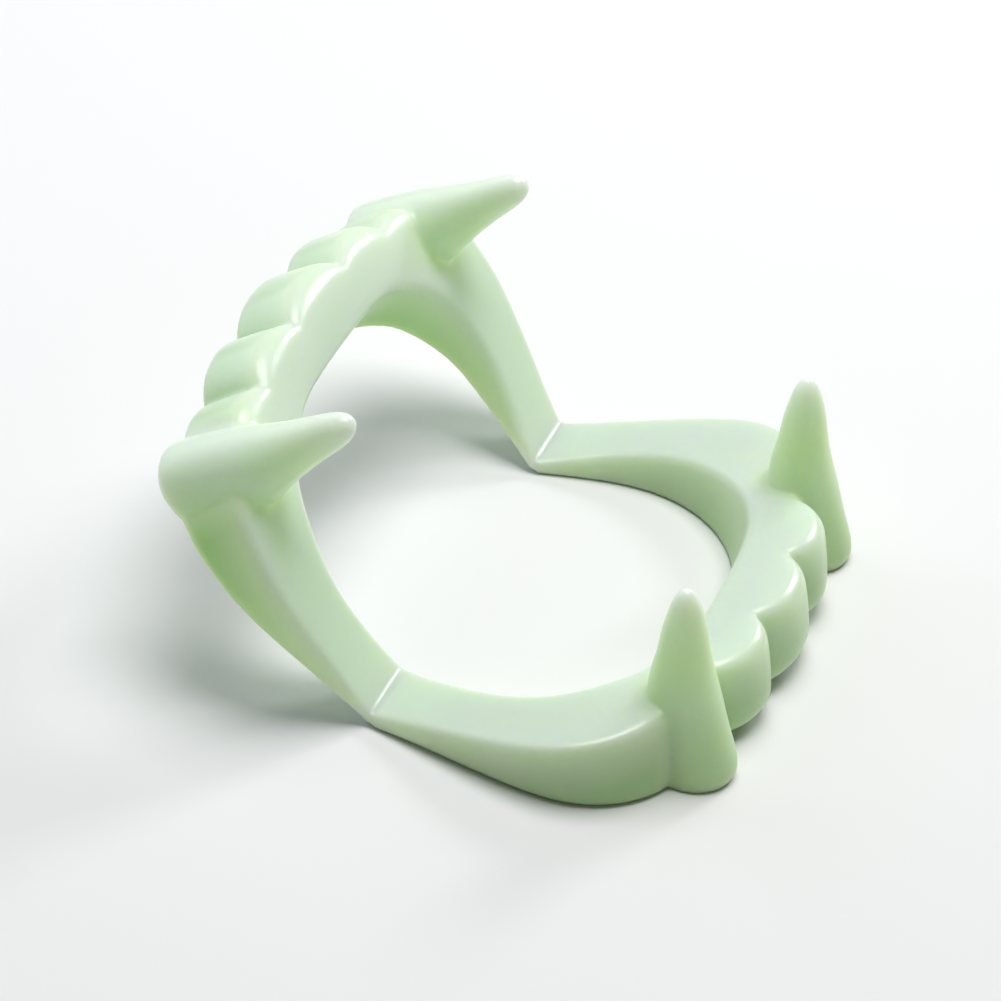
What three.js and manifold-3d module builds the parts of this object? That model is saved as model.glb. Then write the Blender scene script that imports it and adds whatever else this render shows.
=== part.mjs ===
// Vampire fang denture: two horseshoe tooth arches moulded in one soft plastic,
// joined by a thin fold line at each end and opened into a V.
// Units are millimetres, +Z is up. X runs along the fold, +Y from the fold to the front teeth
// of the lower arch. The lower arch lies on its gum rim and the upper arch stands open over it.

import * as THREE from 'three';
import { mergeVertices } from 'three/addons/utils/BufferGeometryUtils.js';
import Module from 'manifold-3d';

const wasm = await Module();
wasm.setup();

// Both arches, which meet at the fold
const archHalfWidth = 30.3;     // middle to the widest place of the arms
const archDepth = 30.0;         // fold line to the valley beside the middle tooth
const restOpening = 111;        // degrees between the two bite plates as they stand
const foldInset = 2.8;          // outer end of each fold lip, in from the widest place
const foldLength = 8.7;         // length of each fold lip
const foldGap = 0.3;            // clearance between the two lips when laid out flat

// Walls and edges
const plateThickness = 1.6;     // bite plate, over the gum channel
const wallThickness = 1.4;      // walls on both sides of the gum channel
const channelStart = 5.5;       // fold line to the end of the gum channel
const biteEdgeRadius = 0.9;     // rounding of the bite plate's edges
const rimEdgeInset = 0.15;      // small lead-in at the gum rim

// Lower arch
const lower = {
  name: 'lower_arch',
  armWidth: 8.5,                // across each arm at its widest place
  barWidth: 4.8,                // across the front bar, at the valleys
  lipThickness: 1.3,            // at the fold line
  rimSlope: 14.4,               // degrees between the bite plate and the gum rim
  wallHeight: 7.9,              // bite plate to the gum rim at the teeth
  outerPlan: [
    { across: 0.943, along: 0.177 },
    { across: 0.977, along: 0.343 },
    { across: 1.000, along: 0.493 },
    { across: 0.998, along: 0.623 },
    { across: 0.952, along: 0.740 },
    { across: 0.862, along: 0.835 },
    { across: 0.730, along: 0.905 },
    { across: 0.620, along: 0.945 },
  ],
  // Tongue opening at the bite plate, and at the gum rim, where the wall leans in
  innerPlan: [
    { across: 0.941, along: 0.193, rimAcross: 0.937, rimAlong: 0.193 },
    { across: 0.995, along: 0.374, rimAcross: 0.975, rimAlong: 0.370 },
    { across: 1.000, along: 0.528, rimAcross: 0.952, rimAlong: 0.524 },
    { across: 0.946, along: 0.669, rimAcross: 0.882, rimAlong: 0.646 },
    { across: 0.833, along: 0.803, rimAcross: 0.778, rimAlong: 0.744 },
    { across: 0.710, along: 0.895, rimAcross: 0.656, rimAlong: 0.815 },
    { across: 0.560, along: 0.955, rimAcross: 0.511, rimAlong: 0.866 },
    { across: 0.330, along: 0.990, rimAcross: 0.308, rimAlong: 0.902 },
    { across: 0.000, along: 1.000, rimAcross: 0.000, rimAlong: 0.913 },
  ],
  // Valleys between the teeth, from the fang to the middle, and the swell of the tooth after
  // each, at the bite plate and at the gum rim
  teeth: [
    { across: 0.510, rimAcross: 0.490, along: 0.940, swell: 2.5, rimSwell: 2.2 },
    { across: 0.180, rimAcross: 0.195, along: 1.000, swell: 2.4, rimSwell: 2.1 },
  ],
  fang: {
    fromSide: 11.0,             // middle of the root, in from the widest place
    fromFront: 2.8,             // the same, back from the front valleys
    rootRadius: 3.95,
    rootDepth: 9.2,
    leanOut: 0.2,               // tip against the root, sideways
    leanForward: 1.4,           // tip against the root, forwards
    tipHeight: 10.8,
    sections: [
      { rise: -1.00, radius: 1.00, lean: 0.00 },
      { rise: -0.55, radius: 0.93, lean: 0.00 },
      { rise: 0.00, radius: 0.84, lean: 0.00 },
      { rise: 0.22, radius: 0.73, lean: 0.10 },
      { rise: 0.40, radius: 0.62, lean: 0.35 },
      { rise: 0.62, radius: 0.52, lean: 0.62 },
      { rise: 0.78, radius: 0.41, lean: 0.82 },
      { rise: 0.89, radius: 0.30, lean: 0.93 },
      { rise: 0.96, radius: 0.19, lean: 1.00 },
      { rise: 1.00, radius: 0.06, lean: 1.00 },
    ],
  },
};

// Upper arch
const upper = {
  name: 'upper_arch',
  armWidth: 9.05,
  barWidth: 5.1,
  lipThickness: 0.85,
  rimSlope: 14.8,
  wallHeight: 7.4,
  outerPlan: [
    { across: 0.950, along: 0.180 },
    { across: 0.983, along: 0.337 },
    { across: 1.000, along: 0.460 },
    { across: 0.998, along: 0.583 },
    { across: 0.963, along: 0.730 },
    { across: 0.882, along: 0.850 },
    { across: 0.780, along: 0.920 },
  ],
  innerPlan: [
    { across: 0.930, along: 0.139, rimAcross: 0.919, rimAlong: 0.139 },
    { across: 0.970, along: 0.263, rimAcross: 0.944, rimAlong: 0.263 },
    { across: 0.998, along: 0.400, rimAcross: 0.967, rimAlong: 0.394 },
    { across: 0.985, along: 0.540, rimAcross: 0.958, rimAlong: 0.526 },
    { across: 0.912, along: 0.729, rimAcross: 0.851, rimAlong: 0.693 },
    { across: 0.819, along: 0.840, rimAcross: 0.758, rimAlong: 0.765 },
    { across: 0.693, along: 0.912, rimAcross: 0.637, rimAlong: 0.829 },
    { across: 0.540, along: 0.968, rimAcross: 0.498, rimAlong: 0.880 },
    { across: 0.350, along: 0.995, rimAcross: 0.326, rimAlong: 0.908 },
    { across: 0.000, along: 1.000, rimAcross: 0.000, rimAlong: 0.912 },
  ],
  teeth: [
    { across: 0.693, rimAcross: 0.693, along: 0.950, swell: 0.8, rimSwell: 0.6 },
    { across: 0.523, rimAcross: 0.523, along: 0.955, swell: 1.8, rimSwell: 2.0 },
    { across: 0.206, rimAcross: 0.206, along: 1.000, swell: 2.1, rimSwell: 2.3 },
  ],
  fang: {
    fromSide: 6.5,
    fromFront: 5.1,
    rootRadius: 4.25,
    rootDepth: 8.0,
    leanOut: -0.2,
    leanForward: 0.9,
    tipHeight: 11.3,
    sections: [
      { rise: -1.00, radius: 0.93, lean: 0.00 },
      { rise: -0.93, radius: 1.00, lean: 0.00 },
      { rise: -0.50, radius: 0.97, lean: 0.00 },
      { rise: 0.00, radius: 0.86, lean: 0.00 },
      { rise: 0.15, radius: 0.77, lean: 0.10 },
      { rise: 0.35, radius: 0.63, lean: 0.35 },
      { rise: 0.58, radius: 0.50, lean: 0.62 },
      { rise: 0.80, radius: 0.41, lean: 0.82 },
      { rise: 0.92, radius: 0.32, lean: 0.93 },
      { rise: 0.98, radius: 0.20, lean: 1.00 },
      { rise: 1.00, radius: 0.08, lean: 1.00 },
    ],
  },
};

// Rings of the arch body, from the bite plate down to the gum rim.
// edge is a share of the bite edge radius, rim a share of the rim lead-in,
// sink a share of the same radius downwards, drop a share of the wall height below that.
const wallRings = [
  { edge: 1.00, sink: 0.00, drop: 0.00, rim: 0 },
  { edge: 0.50, sink: 0.13, drop: 0.00, rim: 0 },
  { edge: 0.13, sink: 0.50, drop: 0.00, rim: 0 },
  { edge: 0.00, sink: 1.00, drop: 0.00, rim: 0 },
  { edge: 0.00, sink: 1.00, drop: 0.50, rim: 0 },
  { edge: 0.00, sink: 1.00, drop: 0.95, rim: 0 },
  { edge: 0.00, sink: 1.00, drop: 1.00, rim: 1 },
];

const armSteps = 14;            // steps along each arm, outside
const toothSteps = 10;          // steps across each tooth
const innerSteps = 26;          // steps along each half of the tongue opening
const fangSides = 20;

// Height of the wall below the bite plate, at a distance from the fold line
function wallDrop(arch, y) {
  const slope = Math.tan(THREE.MathUtils.degToRad(arch.rimSlope));
  return Math.min(arch.lipThickness + slope * y, arch.wallHeight);
}

function planPoints(plan, halfWidth, depth) {
  return plan.map((row) => new THREE.Vector2(row.across * halfWidth, row.along * depth));
}

function rimPoints(plan, halfWidth, depth) {
  return plan.map((row) => new THREE.Vector2(row.rimAcross * halfWidth, row.rimAlong * depth));
}

function smoothed(points, steps) {
  return new THREE.SplineCurve(points).getSpacedPoints(steps);
}

// Swell of a tooth's face across its width, 0 at each valley and 1 over most of the middle
function toothFace(u) {
  return (1 - Math.abs(2 * u - 1) ** 2.4) ** 0.8;
}

// Right half of the outside edge, from the fold lip to the middle of the front teeth.
// rimShare runs from 0 at the bite plate to 1 at the gum rim.
function outerHalf(arch, rimShare) {
  const lip = new THREE.Vector2(archHalfWidth - foldInset, foldGap / 2);
  const arm = planPoints(arch.outerPlan, archHalfWidth, archDepth);
  const valleys = arch.teeth.map((tooth) => new THREE.Vector2(
    THREE.MathUtils.lerp(tooth.across, tooth.rimAcross, rimShare) * archHalfWidth,
    tooth.along * archDepth,
  ));
  const points = smoothed([lip, ...arm, valleys[0]], armSteps);
  valleys.forEach((valley, index) => {
    const last = index === valleys.length - 1;
    const next = last ? new THREE.Vector2(-valley.x, valley.y) : valleys[index + 1];
    const width = next.clone().sub(valley);
    const outward = new THREE.Vector2(width.y, -width.x).normalize();
    const end = last ? toothSteps / 2 : toothSteps;
    for (let step = 1; step <= end; step += 1) {
      const u = step / toothSteps;
      const { swell, rimSwell } = arch.teeth[index];
      const height = THREE.MathUtils.lerp(swell, rimSwell, rimShare) * toothFace(u);
      const along = valley.clone().addScaledVector(width, u);
      points.push(along.addScaledVector(outward, height));
    }
  });
  return points;
}

// Right half of the tongue opening's edge, from the fold lip to its middle
function innerHalf(arch, rimShare) {
  const lip = new THREE.Vector2(archHalfWidth - foldInset - foldLength, foldGap / 2);
  const innerHalfWidth = archHalfWidth - arch.armWidth;
  const innerDepth = archDepth - arch.barWidth;
  const side = planPoints(arch.innerPlan, innerHalfWidth, innerDepth);
  const rim = rimPoints(arch.innerPlan, innerHalfWidth, innerDepth);
  const leaned = side.map((point, index) => point.lerp(rim[index], rimShare));
  return smoothed([lip, ...leaned], innerSteps);
}

// Moves an open line of points sideways into the wall. The first and last points stay on their
// end planes: the fold line and the middle of the arch.
function moveIn(points, distance, side) {
  return points.map((point, index) => {
    const before = points[Math.max(index - 1, 0)];
    const after = points[Math.min(index + 1, points.length - 1)];
    const along = after.clone().sub(before).normalize();
    const moved = new THREE.Vector2(along.y, -along.x).multiplyScalar(side * distance).add(point);
    if (index === 0) moved.y = point.y;
    if (index === points.length - 1) moved.x = point.x;
    return moved;
  });
}

// Whole closed outline from its two right halves, counter-clockwise seen from the bite side
function wholeOutline(outer, inner) {
  const mirrored = (point) => new THREE.Vector2(-point.x, point.y);
  const outerLeft = outer.slice(0, -1).reverse().map(mirrored);
  const innerRight = inner.slice(0, -1).reverse();
  return [...outer, ...outerLeft, ...inner.map(mirrored), ...innerRight];
}

// Closed body through rings that all have the same number of points, flat at both ends
function ringBody(rings) {
  const count = rings[0].length;
  const positions = rings.flat().flatMap((point) => [point.x, point.y, point.z]);
  const faces = [];
  for (let ring = 0; ring < rings.length - 1; ring += 1) {
    for (let i = 0; i < count; i += 1) {
      const a = ring * count + i;
      const b = ring * count + ((i + 1) % count);
      faces.push(a, a + count, b + count, a, b + count, b);
    }
  }
  const flat = rings[0].map((point) => new THREE.Vector2(point.x, point.y));
  const lastRing = (rings.length - 1) * count;
  THREE.ShapeUtils.triangulateShape(flat, []).forEach(([a, b, c]) => {
    faces.push(a, b, c);
    faces.push(lastRing + a, lastRing + c, lastRing + b);
  });
  const geometry = new THREE.BufferGeometry();
  geometry.setAttribute('position', new THREE.Float32BufferAttribute(positions, 3));
  geometry.setIndex(faces);
  return geometry;
}

function solid(geometry) {
  const plain = geometry.clone();
  plain.deleteAttribute('normal');
  plain.deleteAttribute('uv');
  const merged = mergeVertices(plain, 1e-5);
  return new wasm.Manifold(new wasm.Mesh({
    numProp: 3,
    vertProperties: new Float32Array(merged.attributes.position.array),
    triVerts: new Uint32Array(merged.index.array),
  }));
}

function geometryOf(body) {
  const mesh = body.getMesh();
  const geometry = new THREE.BufferGeometry();
  geometry.setAttribute('position', new THREE.Float32BufferAttribute(mesh.vertProperties, 3));
  geometry.setIndex(Array.from(mesh.triVerts));
  geometry.computeVertexNormals();
  return geometry;
}

function archBody(arch) {
  const rings = wallRings.map((row) => {
    const inset = row.edge * biteEdgeRadius + row.rim * rimEdgeInset;
    const outer = moveIn(outerHalf(arch, row.drop), inset, -1);
    const inner = moveIn(innerHalf(arch, row.drop), inset, 1);
    const outline = wholeOutline(outer, inner);
    return outline.map((point) => {
      const drop = wallDrop(arch, point.y);
      const edge = Math.min(biteEdgeRadius, drop / 2);
      const z = -edge * row.sink - (drop - edge) * row.drop;
      return new THREE.Vector3(point.x, point.y, z);
    });
  });
  return ringBody(rings);
}

// Fang with its root: round sections on a line that leans towards the tip
function fangBody(fang, side) {
  const rootX = archHalfWidth - fang.fromSide;
  const rootY = archDepth - fang.fromFront;
  const rings = [];
  fang.sections.slice().reverse().forEach((row) => {
    const height = row.rise < 0 ? row.rise * fang.rootDepth : row.rise * fang.tipHeight;
    const centreX = (rootX + fang.leanOut * row.lean) * side;
    const centreY = rootY + fang.leanForward * row.lean;
    const ring = [];
    for (let i = 0; i < fangSides; i += 1) {
      const angle = (2 * Math.PI * i) / fangSides;
      const radius = fang.rootRadius * row.radius;
      ring.push(new THREE.Vector3(
        centreX + radius * Math.cos(angle),
        centreY + radius * Math.sin(angle),
        height,
      ));
    }
    rings.push(ring);
  });
  return ringBody(rings);
}

// Space above the gum rim, from the side: the fang roots end on the same rim as the walls
function aboveRim(arch) {
  const far = archDepth * 2;
  const slope = Math.tan(THREE.MathUtils.degToRad(arch.rimSlope));
  const shape = new THREE.Shape([
    new THREE.Vector2(0, far),
    new THREE.Vector2(0, -arch.lipThickness),
    new THREE.Vector2(far, -arch.lipThickness - slope * far),
    new THREE.Vector2(far, far),
  ]);
  const width = archHalfWidth * 4;
  const geometry = new THREE.ExtrudeGeometry(shape, { depth: width, bevelEnabled: false });
  geometry.translate(0, 0, -width / 2);
  // Shape's own x becomes +Y, its y becomes +Z
  geometry.applyMatrix4(new THREE.Matrix4().makeBasis(
    new THREE.Vector3(0, 1, 0),
    new THREE.Vector3(0, 0, 1),
    new THREE.Vector3(1, 0, 0),
  ));
  return geometry;
}

// Channel that the wearer's teeth go into, from under the bite plate to past the gum rim
function channelBody(arch) {
  const teeth = arch.teeth.map((tooth) => ({ ...tooth, swell: 0, rimSwell: 0 }));
  const level = { ...arch, teeth };
  const outer = moveIn(outerHalf(level, 0), wallThickness, -1);
  const started = outer.filter((point) => point.y > channelStart);
  const inner = [0, 1].map((rimShare) => moveIn(innerHalf(arch, rimShare), wallThickness, 1));
  const kept = inner[0].map((point, index) => index)
    .filter((index) => inner[0][index].y > channelStart);
  const roof = wholeOutline(started, kept.map((index) => inner[0][index]));
  const mouth = wholeOutline(started, kept.map((index) => inner[1][index]));
  return ringBody([
    roof.map((point) => new THREE.Vector3(point.x, point.y, -plateThickness)),
    mouth.map((point) => new THREE.Vector3(point.x, point.y, -wallDrop(arch, point.y))),
    mouth.map((point) => new THREE.Vector3(point.x, point.y, -arch.wallHeight * 2)),
  ]);
}

function archMesh(arch) {
  let body = solid(archBody(arch));
  const room = solid(aboveRim(arch));
  [-1, 1].forEach((side) => {
    body = body.add(solid(fangBody(arch.fang, side)).intersect(room));
  });
  body = body.subtract(solid(channelBody(arch)));
  const material = new THREE.MeshStandardMaterial({
    color: '#b7d3ac',
    roughness: 0.35,
    metalness: 0,
  });
  const mesh = new THREE.Mesh(geometryOf(body), material);
  mesh.name = arch.name;
  return mesh;
}

// The lower arch is tipped so that its gum rim lies level. The upper arch is turned over to face
// it, and opened about the fold line.
const denture = new THREE.Group();
const tilt = THREE.MathUtils.degToRad(lower.rimSlope);

const lowerGroup = new THREE.Group();
lowerGroup.rotation.x = tilt;
lowerGroup.add(archMesh(lower));

const turnedOver = new THREE.Group();
turnedOver.rotation.y = Math.PI;
turnedOver.add(archMesh(upper));
const upperGroup = new THREE.Group();
upperGroup.rotation.x = tilt + THREE.MathUtils.degToRad(restOpening);
upperGroup.add(turnedOver);

// The origin is the middle of the footprint, on the surface that the rim rests on
const standing = new THREE.Group();
standing.add(lowerGroup, upperGroup);
standing.updateMatrixWorld(true);
const bounds = new THREE.Box3().setFromObject(standing, true);
standing.position.set(0, -(bounds.min.y + bounds.max.y) / 2, lower.lipThickness * Math.cos(tilt));
denture.add(standing);

export default denture;
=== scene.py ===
import math

import bmesh
import bpy
from mathutils import Matrix, Vector
from mathutils.geometry import interpolate_bezier


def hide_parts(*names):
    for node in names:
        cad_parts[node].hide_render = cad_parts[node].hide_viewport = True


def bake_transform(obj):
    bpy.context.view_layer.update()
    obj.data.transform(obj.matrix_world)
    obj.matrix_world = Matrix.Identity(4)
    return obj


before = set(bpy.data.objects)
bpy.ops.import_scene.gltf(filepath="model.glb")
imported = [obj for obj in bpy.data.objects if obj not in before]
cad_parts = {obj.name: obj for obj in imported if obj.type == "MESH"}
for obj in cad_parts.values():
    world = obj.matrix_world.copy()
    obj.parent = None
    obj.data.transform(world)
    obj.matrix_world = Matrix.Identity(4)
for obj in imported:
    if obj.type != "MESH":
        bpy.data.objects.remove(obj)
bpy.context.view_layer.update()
print("frame loaded")

# Everything below is in millimetres until the finished moulding is scaled to metres.
# Each arch is shaped flat: X across, Y from the fold to the front teeth, Z out of the bite plate.

# The fold line in the room, and how the two arches stand on it
foldLine = {
    "place": Vector((0.0, -4.164, 1.259)),
    "lowerTilt": 14.4,      # degrees, the lower arch lies on its slanted gum rim
    "opening": 111.0,       # degrees between the bite plates
    "outerHalf": 27.5,
    "innerHalf": 18.8,
    "gap": 0.15,            # fold line to the end of each arch, bridged by the web
    "webRadius": 0.68,
    "bendHalf": 0.5,        # half of the strip that bends
    "webDrop": 0.46,        # web's middle, behind the fold line
}

archWalls = {
    "plate": 1.6,           # bite plate over the gum channel
    "wall": 1.4,
    "channelStart": 5.5,
    "edgeRadius": 0.95,     # bite plate's rounded edge along the arms
    "rimRadius": 0.4,
    "outerRim": 0.9,
    "edgeMost": 0.48,       # most of the wall's depth that an edge's rounding may take
    "rimMost": 0.35,
    "valleyFilling": 14,    # points evened out where the plate fills the valleys between teeth
    "evening": 5,
    "innerEvening": 4,
    "channelPast": 1.4,     # how far past the rim the channel is cut, in depths
    "voxel": 0.24,          # remesh size
    "softening": 7,         # passes that soften creases as a mould does
    "filletPasses": 24,     # more of them round the foot of each fang
    "filletReach": 1.5,
    "filletFade": 0.8,
    "filletRise": (-0.8, 2.2),
    "filletInside": 0.4,
    "kept": 0.46,           # share of the remeshed triangles that stay
}

# Where a pale sheen is painted into the colour, standing in for the light from above and its
# reflection:
# on the outside of the front teeth and on the front of the fangs
paintedSheenPlaces = {
    "outsideFrom": 0.88, "outsideFade": 0.06,  # shares of the arch's half width and depth
    "frontWithin": 21, "frontFade": 3,         # mm from the middle
    "fangEdge": 1.25, "fangFade": 1.8,
    "turnMiddle": 0.55, "turnShare": 0.6, "turnWider": 0.3, "turnLeast": 0.08,
}

lowerArch = {
    "name": "lower_arch",
    "halfWidth": 30.3, "frontDepth": 30.0,
    "innerHalfWidth": 21.8, "innerDepth": 25.2,
    "lipThickness": 1.3, "rimSlope": 14.4, "wallHeight": 7.9,
    # teeth: edge radius at the plate and at the rim, share of their swell left on the plate
    "toothEdge": 1.5, "toothRim": 1.3, "swellOnPlate": 0.85, "toothBulge": 0.25,
    "paintedSheen": 0.30, "paintedSheenFang": 0.0,
    # share of the half width, share of the depth
    "outer": [(.943, .177), (.977, .343), (1, .493), (.998, .623), (.952, .740), (.862, .835),
              (.730, .905), (.620, .945)],
    # the same at the bite plate, then at the gum rim
    "inner": [(.941, .193, .937, .193), (.995, .374, .975, .370), (1, .528, .952, .524),
              (.946, .669, .882, .646), (.833, .803, .778, .744), (.710, .895, .656, .815),
              (.560, .955, .511, .866), (.330, .990, .308, .902), (0, 1, 0, .913)],
    # valley across at the plate and at the rim, its depth, the next tooth's swell at both
    "teeth": [(.510, .490, .940, 2.5, 2.2), (.180, .195, 1.000, 2.4, 2.1)],
    "fang": {
        "root": (19.3, 27.2), "tip": (19.5, 28.6), "radius": 3.95, "rootDepth": 9.2, "height": 10.8,
        # height, radius and lean as shares
        "sections": [(-1, .90, 0), (-.9, 1.02, 0), (-.75, 1.03, 0), (-.4, .93, 0), (0, .84, 0),
                     (.22, .73, .10), (.40, .62, .35), (.62, .52, .62), (.78, .41, .82),
                     (.89, .30, .93), (.96, .19, 1), (1, .06, 1)],
    },
}

upperArch = {
    "name": "upper_arch",
    "halfWidth": 30.3, "frontDepth": 30.0,
    "innerHalfWidth": 21.25, "innerDepth": 24.9,
    "lipThickness": 0.85, "rimSlope": 14.8, "wallHeight": 7.4,
    "toothEdge": 1.9, "toothRim": 1.0, "swellOnPlate": 0.30, "toothBulge": 0.15,
    "paintedSheen": 1.0, "paintedSheenFang": 1.5,  # share of the painted sheen on front teeth and fangs, standing in for the light from above
    "outer": [(.950, .180), (.983, .337), (1, .460), (.998, .583), (.963, .730), (.882, .850),
              (.780, .920)],
    "inner": [(.930, .139, .919, .139), (.970, .263, .944, .263), (.998, .400, .967, .394),
              (.985, .540, .958, .526), (.912, .729, .851, .693), (.819, .840, .758, .765),
              (.693, .912, .637, .829), (.540, .968, .498, .880), (.350, .995, .326, .908),
              (0, 1, 0, .912)],
    "teeth": [(.693, .693, .950, .8, .6), (.523, .523, .955, 1.8, 2.0),
              (.206, .206, 1.000, 2.1, 2.3)],
    "fang": {
        "root": (23.8, 24.9), "tip": (23.6, 25.8), "radius": 4.25, "rootDepth": 8.0, "height": 11.3,
        "sections": [(-1, .86, 0), (-.9, .97, 0), (-.6, .98, 0), (0, .87, 0), (.15, .78, .10),
                     (.35, .63, .35), (.58, .50, .62), (.80, .40, .82), (.92, .30, .93),
                     (.98, .18, 1), (1, .07, 1)],
    },
}

# A smooth line through a few points
def smoothLine(points, steps=6):
    line = []
    for i in range(len(points) - 1):
        before = points[max(i - 1, 0)]
        start, end = points[i], points[i + 1]
        after = points[min(i + 2, len(points) - 1)]
        leave = start + (end - before) / 6
        arrive = end - (after - start) / 6
        part = interpolate_bezier(start, leave, arrive, end, steps + 1)
        line += part if i == len(points) - 2 else part[:-1]
    return line


def mix(a, b, share):
    return a + (b - a) * share


def within(value):
    return min(max(value, 0), 1)


# How deep the wall hangs below the plate at a distance from the fold
def wallDrop(arch, y):
    slope = math.tan(math.radians(arch["rimSlope"]))
    return min(arch["lipThickness"] + slope * max(y, 0), arch["wallHeight"])


# Half of the lip-side outline, fold to middle; share is 0 at the plate and 1 at the gum rim
def outerLine(arch, share, swelling=1):
    width, depth = arch["halfWidth"], arch["frontDepth"]
    arm = [Vector((x * width, y * depth, 0)) for x, y in arch["outer"]]
    valleys = [Vector((mix(t[0], t[1], share) * width, t[2] * depth, 0)) for t in arch["teeth"]]
    line = smoothLine([Vector((foldLine["outerHalf"], foldLine["gap"], 0)), *arm, valleys[0]])
    for i, tooth in enumerate(arch["teeth"]):
        start = valleys[i]
        last = i == len(valleys) - 1
        end = Vector((-start.x, start.y, 0)) if last else valleys[i + 1]
        run = end - start
        outward = Vector((run.y, -run.x, 0)).normalized()
        steps = 24
        for step in range(1, (steps // 2 if last else steps) + 1):
            u = step / steps
            swell = mix(tooth[3], tooth[4], share) * swelling
            rise = swell * (1 - abs(2 * u - 1) ** 2.4) ** 0.8
            line.append(start + run * u + outward * rise)
    return line


def innerLine(arch, share):
    width, depth = arch["innerHalfWidth"], arch["innerDepth"]
    side = [Vector((mix(a, c, share) * width, mix(b, d, share) * depth, 0))
            for a, b, c, d in arch["inner"]]
    return smoothLine([Vector((foldLine["innerHalf"], foldLine["gap"], 0)), *side])


# Evens out a line that ends on the middle, so that the valleys between teeth fill up
def evened(line, reach):
    beyond = line + [Vector((-p.x, p.y, p.z)) for p in line[-2::-1]]
    smooth = []
    for i in range(len(line)):
        near = min(i, reach)
        some = beyond[i - near:i + near + 1]
        smooth.append(sum(some, Vector((0, 0, 0))) / len(some))
    return smooth


# Moves a line sideways into the wall, square to its guide; its ends stay on the fold and middle
def moveIn(line, distances, guide):
    moved = []
    for i, point in enumerate(line):
        run = guide[min(i + 1, len(line) - 1)] - guide[max(i - 1, 0)]
        spot = point + Vector((run.y, -run.x, 0)).normalized() * distances[i]
        if i == 0:
            spot.y = point.y
        if i == len(line) - 1:
            spot.x = point.x
        moved.append(spot)
    return moved


def wholeOutline(outer, inner):
    flip = [Vector((-p.x, p.y, p.z)) for p in outer[:-1]][::-1]
    flipInner = [Vector((-p.x, p.y, p.z)) for p in inner]
    return outer + flip + flipInner + inner[:-1][::-1]


def newObject(name, bm):
    bmesh.ops.recalc_face_normals(bm, faces=bm.faces)
    mesh = bpy.data.meshes.new(name)
    bm.to_mesh(mesh)
    bm.free()
    piece = bpy.data.objects.new(name, mesh)
    bpy.context.scene.collection.objects.link(piece)
    return piece


# A closed body through rings of points: the first ring is a face that is pulled on ring by ring
def stacked(rings):
    bm = bmesh.new()
    face = bm.faces.new([bm.verts.new(p) for p in rings[0]])
    for step, (ring, following) in enumerate(zip(rings, rings[1:])):
        index = {tuple(round(c, 5) for c in p): i for i, p in enumerate(ring)}
        pulled = bmesh.ops.extrude_face_region(bm, geom=[face])["geom"]
        if step > 0:
            bmesh.ops.delete(bm, geom=[face], context="FACES_ONLY")
        face = next(g for g in pulled if isinstance(g, bmesh.types.BMFace))
        for vert in face.verts:
            vert.co = following[index[tuple(round(c, 5) for c in vert.co)]]
    return bm


# How deep and how far in a row of the wall lies: over the rounded edge, down, round the rim
def rowPlace(kind, amount, edge, rim, drop):
    turn = math.radians(amount)
    if kind == "edge":
        return edge * (1 - math.cos(turn)), edge * (1 - math.sin(turn))
    if kind == "rim":
        return drop - rim * (1 - math.sin(turn)), rim * (1 - math.cos(turn))
    return mix(edge, drop - rim, amount), 0.0


wallRows = [("edge", turn) for turn in (0, 15, 30, 45, 60, 75, 90)] + [
    ("wall", share) for share in (0.25, 0.5, 0.75)] + [("rim", turn) for turn in (0, 30, 60, 90)]


def archSlab(arch):
    outer = [outerLine(arch, share) for share in (0, 1)]
    filled = [evened(line, archWalls["valleyFilling"]) for line in outer]
    inner = [evened(innerLine(arch, share), archWalls["innerEvening"]) for share in (0, 1)]
    outerGuide = evened(outerLine(arch, 0, 0), archWalls["evening"])
    rings = []
    for kind, amount in wallRows:
        outerRow, outerShift, innerRow, innerShift = [], [], [], []
        for i, start in enumerate(outer[0]):
            drop = wallDrop(arch, start.y)
            onTeeth = within((arch["fang"]["root"][0] + 1 - start.x) / 5)
            edge = min(mix(archWalls["edgeRadius"], arch["toothEdge"], onTeeth),
                       drop * archWalls["edgeMost"])
            rim = min(mix(archWalls["outerRim"], arch["toothRim"], onTeeth),
                      drop * archWalls["rimMost"])
            depth, inset = rowPlace(kind, amount, edge, rim, drop)
            share = depth / drop
            filling = (1 - arch["swellOnPlate"]) * (1 - min(depth / edge, 1)) * onTeeth
            spot = mix(mix(outer[0][i], outer[1][i], share), mix(filled[0][i], filled[1][i], share),
                       filling)
            outerRow.append(Vector((spot.x, spot.y, -depth)))
            outerShift.append(arch["toothBulge"] * onTeeth * math.sin(math.pi * share) - inset)
        for i, start in enumerate(inner[0]):
            drop = wallDrop(arch, start.y)
            edge = min(archWalls["edgeRadius"], drop * archWalls["edgeMost"])
            rim = min(archWalls["rimRadius"], drop * archWalls["rimMost"])
            depth, inset = rowPlace(kind, amount, edge, rim, drop)
            spot = mix(start, inner[1][i], depth / drop)
            innerRow.append(Vector((spot.x, spot.y, -depth)))
            innerShift.append(inset)
        rows = (moveIn(outerRow, outerShift, outerGuide), moveIn(innerRow, innerShift, inner[0]))
        # the rim stays on its slanted plane wherever a point has moved to
        for row, starts in zip(rows, (outer[0], inner[0])):
            for spot, start in zip(row, starts):
                spot.z *= wallDrop(arch, spot.y) / wallDrop(arch, start.y)
        rings.append(wholeOutline(*rows))
    return newObject(arch["name"] + "Slab", stacked(rings))


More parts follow.
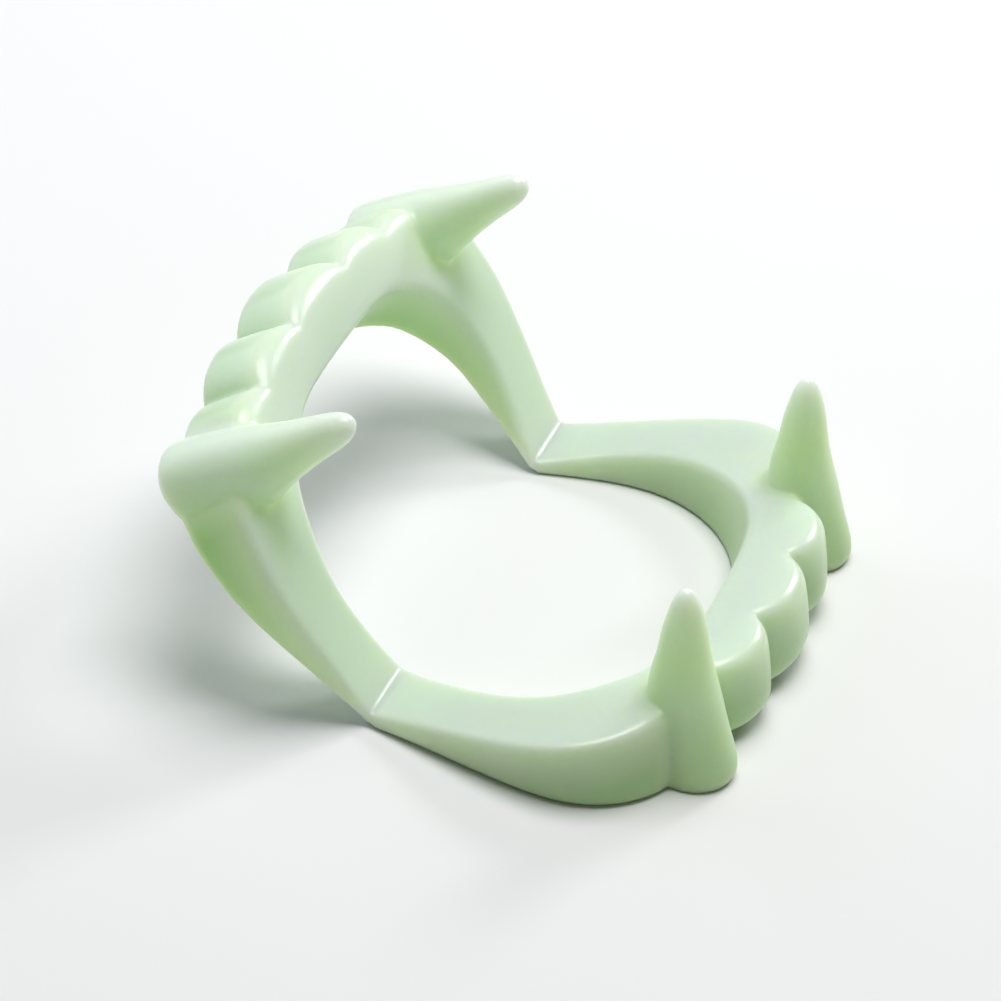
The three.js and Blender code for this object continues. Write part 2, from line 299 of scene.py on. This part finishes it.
# The hollow for the wearer's own teeth, its roof edge rounded, cut on past the slanted rim
def channelCutter(arch):
    start, wall, plate = archWalls["channelStart"], archWalls["wall"], archWalls["plate"]
    past, evening = archWalls["channelPast"], archWalls["evening"]
    rings = []
    for inset, down in ((0.5, 0), (0.15, 0.15), (0, 0.5), (0, None)):
        share = 0 if down is not None else past
        outer = outerLine(arch, 0, 0)
        inner = [mix(a, b, share) for a, b in zip(innerLine(arch, 0), innerLine(arch, 1))]
        sides = []
        for line, shift in ((outer, -wall - inset), (inner, wall + inset)):
            side = []
            for first, moved in zip(line, moveIn(line, [shift] * len(line), evened(line, evening))):
                deep = down if down is not None else (wallDrop(arch, first.y) - plate) * past
                side.append(Vector((moved.x, moved.y, -plate - deep)))
            sides.append(side)
        rings.append(sides)
    kept = [[p.y > start for p in side] for side in rings[0]]
    return newObject("channel", stacked([wholeOutline(
        *[[p for p, keep in zip(side, keeps) if keep] for side, keeps in zip(sides, kept)])
        for sides in rings]))


# A fang and its root, drawn up from a circle ring by ring
def fangPiece(arch, side):
    fang = arch["fang"]
    rows = smoothLine([Vector(row) for row in fang["sections"]], 4)
    bm = bmesh.new()
    ring = bmesh.ops.create_circle(bm, cap_ends=True, segments=64, radius=1.0)["verts"]
    def place(row):
        rise, radius, lean = row
        height = rise * (fang["rootDepth"] if rise < 0 else fang["height"])
        x = mix(fang["root"][0], fang["tip"][0], lean) * side
        y = mix(fang["root"][1], fang["tip"][1], lean)
        return Vector((x, y, height)), radius * fang["radius"]
    spot, size = place(rows[0])
    bmesh.ops.scale(bm, vec=(size, size, 1), verts=ring)
    bmesh.ops.translate(bm, vec=spot, verts=ring)
    edges = [e for e in bm.edges if all(v in set(ring) for v in e.verts)]
    for row in rows[1:]:
        nextSpot, nextSize = place(row)
        pulled = bmesh.ops.extrude_edge_only(bm, edges=edges)["geom"]
        verts = [g for g in pulled if isinstance(g, bmesh.types.BMVert)]
        edges = [g for g in pulled if isinstance(g, bmesh.types.BMEdge)]
        ratio = nextSize / size
        bmesh.ops.scale(bm, vec=(ratio, ratio, 1), verts=verts, space=Matrix.Translation(-spot))
        bmesh.ops.translate(bm, vec=nextSpot - spot, verts=verts)
        spot, size = nextSpot, nextSize
    bmesh.ops.contextual_create(bm, geom=edges)
    # the root ends on the slanted plane of the gum rim
    slope = math.radians(arch["rimSlope"])
    cut = bmesh.ops.bisect_plane(
        bm, geom=bm.verts[:] + bm.edges[:] + bm.faces[:], dist=1e-5,
        plane_co=(0, 0, -arch["lipThickness"]), plane_no=(0, -math.sin(slope), -math.cos(slope)),
        clear_outer=True)["geom_cut"]
    bmesh.ops.contextual_create(bm, geom=[g for g in cut if isinstance(g, bmesh.types.BMEdge)])
    return newObject(arch["name"] + "Fang", bm)


def applied(piece):
    graph = bpy.context.evaluated_depsgraph_get()
    mesh = bpy.data.meshes.new_from_object(piece.evaluated_get(graph))
    piece.modifiers.clear()
    old = piece.data
    piece.data = mesh
    bpy.data.meshes.remove(old)
    return piece


def combine(piece, other, how):
    step = piece.modifiers.new(how.lower(), "BOOLEAN")
    step.operation = how
    step.object = other
    step.solver = "EXACT"
    applied(piece)
    bpy.data.objects.remove(other)
    return piece


def archPiece(arch):
    piece = archSlab(arch)
    for side in (-1, 1):
        combine(piece, fangPiece(arch, side), "UNION")
    combine(piece, channelCutter(arch), "DIFFERENCE")
    print(arch["name"], "shaped:", len(piece.data.polygons), "faces")
    return piece


lowerPlace = Matrix.Translation(foldLine["place"]) @ Matrix.Rotation(
    math.radians(foldLine["lowerTilt"]), 4, "X")
upperPlace = Matrix.Translation(foldLine["place"]) @ Matrix.Rotation(
    math.radians(foldLine["lowerTilt"] + foldLine["opening"]), 4, "X") @ Matrix.Rotation(
    math.pi, 4, "Y")

# The thin web of plastic that bends, one on each side, thinner towards its ends
def foldWeb(side):
    half = math.radians(foldLine["lowerTilt"] + foldLine["opening"] / 2)
    back = Vector((0, -math.cos(half), -math.sin(half))) * foldLine["webDrop"]
    low, high = foldLine["innerHalf"], foldLine["outerHalf"]
    ends = [(0.05, 0.30), (0.20, 0.46), (0.5, 0.56), (1.0, 0.63), (1.8, foldLine["webRadius"])]
    rows = [(low + x, radius) for x, radius in ends] + [(high - x, radius) for x, radius in ends[::-1]]
    rings = []
    for x, radius in rows:
        middle = foldLine["place"] + back + Vector((x * side, 0, 0))
        rings.append([middle + Vector((0, math.cos(turn), math.sin(turn))) * radius
                      for turn in (math.tau * i / 32 for i in range(32))])
    return newObject("web", stacked(rings))


lowerPiece = archPiece(lowerArch)
lowerPiece.data.transform(lowerPlace)
upperPiece = archPiece(upperArch)
upperPiece.data.transform(upperPlace)

# For each arch: its own frame, and its fang's radius and lean looked up by height
fangTables = []
for arch, place in ((lowerArch, lowerPlace), (upperArch, upperPlace)):
    rows = smoothLine([Vector(row) for row in arch["fang"]["sections"]], 8)
    table = [min(rows, key=lambda row: abs(row[0] - (i / 100 - 1))) for i in range(201)]
    fangTables.append((arch, arch["fang"], place.inverted(), table))
bisector = math.radians(foldLine["lowerTilt"] + foldLine["opening"] / 2)
bisector = Vector((0, -math.sin(bisector), math.cos(bisector)))


# A point's height over its bite plate, how far outside its fang's skin it lies, whether it is on
# the fang, and how much painted sheen it gets, standing in for the light from above
def measure(spot):
    away = spot - foldLine["place"]
    arch, fang, inverse, table = fangTables[1 if away.dot(bisector) > 0 else 0]
    near = inverse @ spot
    share = near.z / (fang["rootDepth"] if near.z < 0 else fang["height"])
    row = table[min(max(round((share + 1) * 100), 0), 200)]
    axisX = mix(fang["root"][0], fang["tip"][0], row[2])
    axisY = mix(fang["root"][1], fang["tip"][1], row[2])
    radius = row[1] * fang["radius"]
    outside = math.hypot(abs(near.x) - axisX, near.y - axisY) - radius
    onFang = within(paintedSheenPlaces["fangEdge"] - outside / paintedSheenPlaces["fangFade"])
    around = math.hypot(near.x / arch["halfWidth"], near.y / arch["frontDepth"])
    front = within((around - paintedSheenPlaces["outsideFrom"]) / paintedSheenPlaces["outsideFade"]) * within(
        (paintedSheenPlaces["frontWithin"] - abs(near.x)) / paintedSheenPlaces["frontFade"])
    # painted sheen on a fang: stronger on its side towards the front teeth, which faces the light
    # above
    turned = paintedSheenPlaces["turnMiddle"] + paintedSheenPlaces["turnShare"] * (near.y - axisY) / (
        radius + paintedSheenPlaces["turnWider"])
    turned = min(max(turned, paintedSheenPlaces["turnLeast"]), 1)
    paintedSheen = mix(front * arch["paintedSheen"], arch["paintedSheenFang"] * turned, onFang)
    return near.z, outside, onFang, paintedSheen


# One moulding: all solids joined, then remeshed as a single skin with soft creases
joined = bmesh.new()
for part in (lowerPiece, upperPiece, foldWeb(-1), foldWeb(1)):
    joined.from_mesh(part.data)
    bpy.data.objects.remove(part)
moulding = newObject("fangMoulding", joined)
skin = moulding.modifiers.new("skin", "REMESH")
skin.mode = "VOXEL"
skin.voxel_size = archWalls["voxel"]
skin.use_smooth_shade = True
applied(moulding)

foot = moulding.vertex_groups.new(name="fangFoot")
filletReach = archWalls["filletReach"]
filletLow, filletHigh = archWalls["filletRise"]
for vert in moulding.data.vertices:
    rise, outside, onFang, paintedSheen = measure(vert.co)
    if filletLow < rise < filletHigh and -archWalls["filletInside"] < outside < filletReach:
        foot.add([vert.index], min(1, (filletReach - outside) / archWalls["filletFade"]), "REPLACE")
fillet = moulding.modifiers.new("fillet", "SMOOTH")
fillet.vertex_group = "fangFoot"
fillet.factor = 0.5
fillet.iterations = archWalls["filletPasses"]
soft = moulding.modifiers.new("soft", "SMOOTH")
soft.factor = 0.5
soft.iterations = archWalls["softening"]
fewer = moulding.modifiers.new("fewer", "DECIMATE")
fewer.ratio = archWalls["kept"]
applied(moulding)
moulding.vertex_groups.clear()
print("moulding:", sum(len(f.vertices) - 2 for f in moulding.data.polygons), "triangles")

# Marks each point: mm out of its bite plate, on a fang or not, how much painted sheen, mm from the
# fold line
marks = {"rise": [], "fang": [], "paintedSheen": [], "crease": []}
for vert in moulding.data.vertices:
    rise, outside, onFang, paintedSheen = measure(vert.co)
    marks["rise"].append(rise)
    marks["fang"].append(onFang)
    marks["paintedSheen"].append(paintedSheen)
    marks["crease"].append((vert.co - foldLine["place"]).yz.length)
for name, values in marks.items():
    moulding.data.attributes.new(name, "FLOAT", "POINT").data.foreach_set("value", values)
moulding.data.transform(Matrix.Scale(0.001, 4))
for face in moulding.data.polygons:
    face.use_smooth = True

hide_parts("lower_arch", "upper_arch")

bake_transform(moulding)


def linear(hexColour):
    parts = [int(hexColour[i:i + 2], 16) / 255 for i in (1, 3, 5)]
    return [p / 12.92 if p <= 0.04045 else ((p + 0.055) / 1.055) ** 2.4 for p in parts] + [1]


def addNode(tree, kind, settings=None, links=None):
    node = tree.nodes.new(kind)
    for key, value in (settings or {}).items():
        if key in node.inputs:
            node.inputs[key].default_value = value
        else:
            setattr(node, key, value)
    for key, source in (links or {}).items():
        tree.links.new(source, node.inputs[key])
    return node


# Soft injection-moulded polyethylene with glow pigment: cloudy, light passes into thin parts,
# and the skin has a satin gloss with the fine pits of a cheap mould.
glowPlastic = {
    # mm out of the bite plate and the colour there, partly painted shade: the walls darken and turn
    # greener towards the gum rim, where less light reaches, and the plate is paler where the light
    # from above falls;
    # thin walls are also greener as light passes through them
    "wall": [(-9.0, "#A9D08C"), (-5.0, "#AFD395"), (-1.6, "#CFE7BB"), (-0.4, "#D3E6CE"),
             (0.0, "#D3E6D2"), (1.0, "#D3E6D2")],
    # painted light on the fangs: paler than the walls and paler towards the tip, where light falls on
    # them and shines through; darker towards the root, which stands in shade
    "fang": [(-9.0, "#B8D89C"), (-4.0, "#C8E6B0"), (0.0, "#D8F1C4"), (4.5, "#DAF4BE"),
             (8.5, "#DEF5D4"), (11.5, "#E4F6EA")],
    "paleSheen": "#E6F4E6",        # painted sheen: the pale reflection of the light from above
    "paleSheenShare": 0.55,
    "foldColour": "#E2EFDC",  # plastic whitens where it bends
    "foldWidth": 0.35,        # mm
    "foldShare": 0.55,
    "depth": 0.0040,          # metres that light travels inside
    "reach": (0.80, 0.86, 0.44),
    "roughness": 0.28,
    "ior": 1.51,
    "cloudSize": 5.0,         # mm, cloudy streaks of pigment
    "cloudShare": 0.10,
    "cloudColour": "#DDEBDD",
    "pitSize": 0.9,           # mm, pits and flow marks of the mould's skin
    "pitDepth": 0.00003,
}


# A colour that changes along a length given in mm
def graded(tree, stops, length):
    low, high = stops[0][0], stops[-1][0]
    share = addNode(tree, "ShaderNodeMapRange", {"From Min": low, "From Max": high},
                    {"Value": length})
    ramp = addNode(tree, "ShaderNodeValToRGB", None, {"Fac": share.outputs["Result"]})
    keys = ramp.color_ramp.elements
    while len(keys) < len(stops):
        keys.new(0.5)
    for key, (height, colour) in zip(keys, stops):
        key.position = (height - low) / (high - low)
        key.color = linear(colour)
    return ramp.outputs["Color"]


def makeGlowPlastic():
    material = bpy.data.materials.new("mouldedGlowPolyethylene")
    material.use_nodes = True
    tree = material.node_tree
    tree.nodes.clear()
    place = addNode(tree, "ShaderNodeTexCoord")
    rise = addNode(tree, "ShaderNodeAttribute", {"attribute_name": "rise"})
    # painted shade: the wall colour darkens and greens towards the gum rim and is paler on the lit
    # plate
    shadedWallColour = graded(tree, glowPlastic["wall"], rise.outputs["Fac"])
    # painted light: the fang colour is paler towards the lit tip and darker towards the shaded root
    teeth = graded(tree, glowPlastic["fang"], rise.outputs["Fac"])
    onFang = addNode(tree, "ShaderNodeAttribute", {"attribute_name": "fang"})
    ground = addNode(tree, "ShaderNodeMix", {"data_type": "RGBA"})
    tree.links.new(onFang.outputs["Fac"], ground.inputs[0])
    tree.links.new(shadedWallColour, ground.inputs[6])
    tree.links.new(teeth, ground.inputs[7])
    # painted sheen: a pale colour mixed in on the front teeth and fangs, where the light from above
    # falls and reflects
    paintedSheen = addNode(tree, "ShaderNodeAttribute", {"attribute_name": "paintedSheen"})
    sheenAmount = addNode(tree, "ShaderNodeMath", {"operation": "MULTIPLY"})
    tree.links.new(paintedSheen.outputs["Fac"], sheenAmount.inputs[0])
    sheenAmount.inputs[1].default_value = glowPlastic["paleSheenShare"]
    paleSheen = addNode(tree, "ShaderNodeMix", {"data_type": "RGBA"})
    tree.links.new(sheenAmount.outputs["Value"], paleSheen.inputs[0])
    tree.links.new(ground.outputs[2], paleSheen.inputs[6])
    paleSheen.inputs[7].default_value = linear(glowPlastic["paleSheen"])
    cloud = addNode(tree, "ShaderNodeTexNoise",
                    {"Scale": 1000 / glowPlastic["cloudSize"], "Detail": 3.0, "Roughness": 0.5},
                    {"Vector": place.outputs["Object"]})
    cloudy = addNode(tree, "ShaderNodeMapRange",
                     {"From Min": 0.35, "From Max": 0.65, "To Min": 0.0,
                      "To Max": glowPlastic["cloudShare"]}, {"Value": cloud.outputs["Fac"]})
    streaks = addNode(tree, "ShaderNodeMix", {"data_type": "RGBA"})
    tree.links.new(cloudy.outputs["Result"], streaks.inputs[0])
    tree.links.new(paleSheen.outputs[2], streaks.inputs[6])
    streaks.inputs[7].default_value = linear(glowPlastic["cloudColour"])
    crease = addNode(tree, "ShaderNodeAttribute", {"attribute_name": "crease"})
    bend = addNode(tree, "ShaderNodeMapRange",
                   {"From Min": 0.0, "From Max": glowPlastic["foldWidth"],
                    "To Min": glowPlastic["foldShare"], "To Max": 0.0,
                    "interpolation_type": "SMOOTHSTEP"},
                   {"Value": crease.outputs["Fac"]})
    colour = addNode(tree, "ShaderNodeMix", {"data_type": "RGBA"})
    tree.links.new(bend.outputs["Result"], colour.inputs[0])
    tree.links.new(streaks.outputs[2], colour.inputs[6])
    colour.inputs[7].default_value = linear(glowPlastic["foldColour"])
    pits = addNode(tree, "ShaderNodeTexNoise",
                   {"Scale": 1000 / glowPlastic["pitSize"], "Detail": 3.0, "Roughness": 0.6},
                   {"Vector": place.outputs["Object"]})
    skinBump = addNode(tree, "ShaderNodeBump",
                       {"Strength": 0.5, "Distance": glowPlastic["pitDepth"]},
                       {"Height": pits.outputs["Fac"]})
    shader = addNode(tree, "ShaderNodeBsdfPrincipled", {
        "Roughness": glowPlastic["roughness"],
        "IOR": glowPlastic["ior"],
        "Subsurface Weight": 1.0,
        "Subsurface Radius": glowPlastic["reach"],
        "Subsurface Scale": glowPlastic["depth"],
    }, {"Base Color": colour.outputs[2], "Normal": skinBump.outputs["Normal"]})
    addNode(tree, "ShaderNodeOutputMaterial", None, {"Surface": shader.outputs["BSDF"]})
    return material


moulding.data.materials.clear()
moulding.data.materials.append(makeGlowPlastic())
print("glow plastic made")

# Studio: a pale table top, a soft light overhead, a cool panel on the upper teeth's side, a small
# lamp behind that glints on the bite edges, a white sheet behind it, a dim room
studio = {
    "table": "#EDEDED",
    "tableHalf": 1.2,
    "room": "#F6FFEE",
    "roomStrength": 0.13,
    # place, diameter, watts, colour
    "lights": {
        "overhead": ((-0.10, 0.0, 0.55), 0.40, 2.6, "#FFFFFF"),
        "sidePanel": ((-0.16, -0.53, 0.26), 0.62, 1.25, "#E2E6FF"),
        "backLamp": ((-0.48, 0.16, 0.29), 0.15, 0.90, "#FFFFFF"),
        "backdrop": ((-0.95, 0.0, 0.30), 1.00, 0.4, "#FFFFFF"),
    },
}


def makeTable():
    bm = bmesh.new()
    bmesh.ops.create_grid(bm, x_segments=1, y_segments=1, size=studio["tableHalf"])
    table = newObject("table", bm)
    material = bpy.data.materials.new("matteWhiteBoard")
    material.use_nodes = True
    shader = material.node_tree.nodes["Principled BSDF"]
    shader.inputs["Base Color"].default_value = linear(studio["table"])
    shader.inputs["Roughness"].default_value = 0.9
    table.data.materials.append(material)


def makeRoom():
    world = bpy.data.worlds.new("room")
    bpy.context.scene.world = world
    world.use_nodes = True
    air = world.node_tree.nodes["Background"]
    air.inputs["Color"].default_value = linear(studio["room"])
    air.inputs["Strength"].default_value = studio["roomStrength"]


def softLight(name, place, size, power, colour):
    light = bpy.data.lights.new(name, "AREA")
    light.color = linear(colour)[:3]
    light.shape = "DISK"
    light.size = size
    light.energy = power
    lamp = bpy.data.objects.new(name, light)
    bpy.context.scene.collection.objects.link(lamp)
    lamp.location = place
    lamp.visible_camera = False
    aim = Vector((0, 0, 0.012)) - Vector(place)
    lamp.rotation_euler = aim.to_track_quat("-Z", "Y").to_euler()


makeTable()
makeRoom()
for name, (place, size, power, colour) in studio["lights"].items():
    softLight(name, place, size, power, colour)
bpy.context.scene.view_settings.view_transform = "Standard"

# The photograph's view: three quarters from the side, with a small roll
camera = {
    "place": (0.3553075, 0.0913918, 0.2543127),
    "right": (-0.3253115, 0.9387449, 0.1137119),
    "view": (-0.8042216, -0.2114103, -0.5554577),
    "lens": 169.89,
}


def makeCamera():
    data = bpy.data.cameras.new("camera")
    data.lens = camera["lens"]
    data.sensor_width = 36
    data.clip_start = 0.01
    eye = bpy.data.objects.new("camera", data)
    bpy.context.scene.collection.objects.link(eye)
    right = Vector(camera["right"]).normalized()
    back = -Vector(camera["view"]).normalized()
    up = back.cross(right)
    eye.rotation_euler = Matrix((right, up, back)).transposed().to_euler()
    eye.location = camera["place"]
    bpy.context.scene.camera = eye


makeCamera()
print("studio and camera set")
